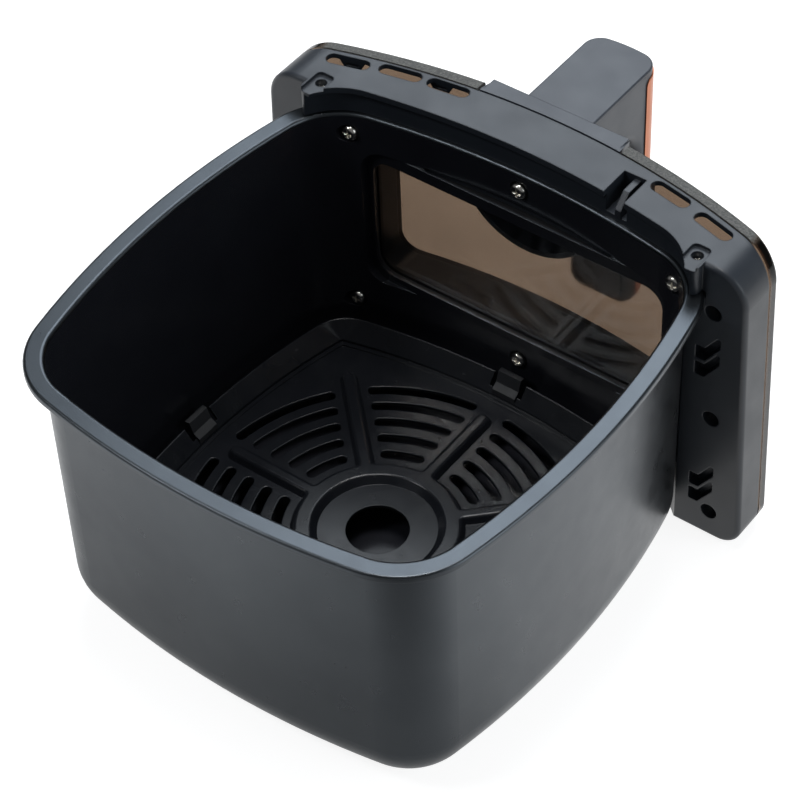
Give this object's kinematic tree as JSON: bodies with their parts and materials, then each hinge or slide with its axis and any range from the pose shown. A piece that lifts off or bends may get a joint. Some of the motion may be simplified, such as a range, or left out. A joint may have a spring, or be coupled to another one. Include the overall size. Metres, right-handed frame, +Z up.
{
  "type": "air fryer drawer",
  "caption": "Pull-out drawer of an air fryer: non-stick pan with a window, lift-out crisper tray, moulded front panel with a smoked cover and a bar handle.",
  "frame": {"origin": "centre of the pan's flat base, on the surface that the drawer stands on", "axes": "+Z up, -Y towards the handle, +X to the right seen from the front"},
  "size_m": [0.2552, 0.3091, 0.1587],
  "materials": {
    "pan_coating": "satin dark grey non-stick coating on pressed steel",
    "tray_coating": "semi-matte near-black non-stick coating",
    "housing_plastic": "satin blue-grey moulded plastic",
    "frame_plastic": "matte black moulded plastic",
    "smoked_cover": "clear plastic with an amber smoke tint, polished",
    "window_glass": "clear toughened glass",
    "gasket_silicone": "matte black silicone",
    "handle_plastic": "satin blue-grey moulded plastic",
    "copper_plating": "satin copper-coloured plating on plastic",
    "bumper_silicone": "matte dark grey silicone",
    "screw_steel": "bright nickel-plated steel"
  },
  "bodies": {
    "drawer": {"pan": "pan_coating", "front_housing": "housing_plastic", "front_frame": "frame_plastic", "front_cover": "smoked_cover", "window_glass": "window_glass", "window_gasket": "gasket_silicone", "handle_bracket": "handle_plastic", "handle_body": "handle_plastic", "handle_cap": "handle_plastic", "handle_trim": "copper_plating", "pan_screws": "screw_steel", "rear_screws": "screw_steel", "bracket_screws": "screw_steel", "handle_screws": "screw_steel", "corner_screws": "screw_steel"},
    "crisper": {"crisper_tray": "tray_coating", "tray_bumper_right": "bumper_silicone", "tray_bumper_back": "bumper_silicone", "tray_bumper_left": "bumper_silicone", "tray_bumper_front": "bumper_silicone"}
  },
  "joints": [
    {"name": "tray_lift", "type": "slide", "parent": "drawer", "child": "crisper", "axis": [0, 0, 1], "range_m": [0, 0.16]}
  ]
}
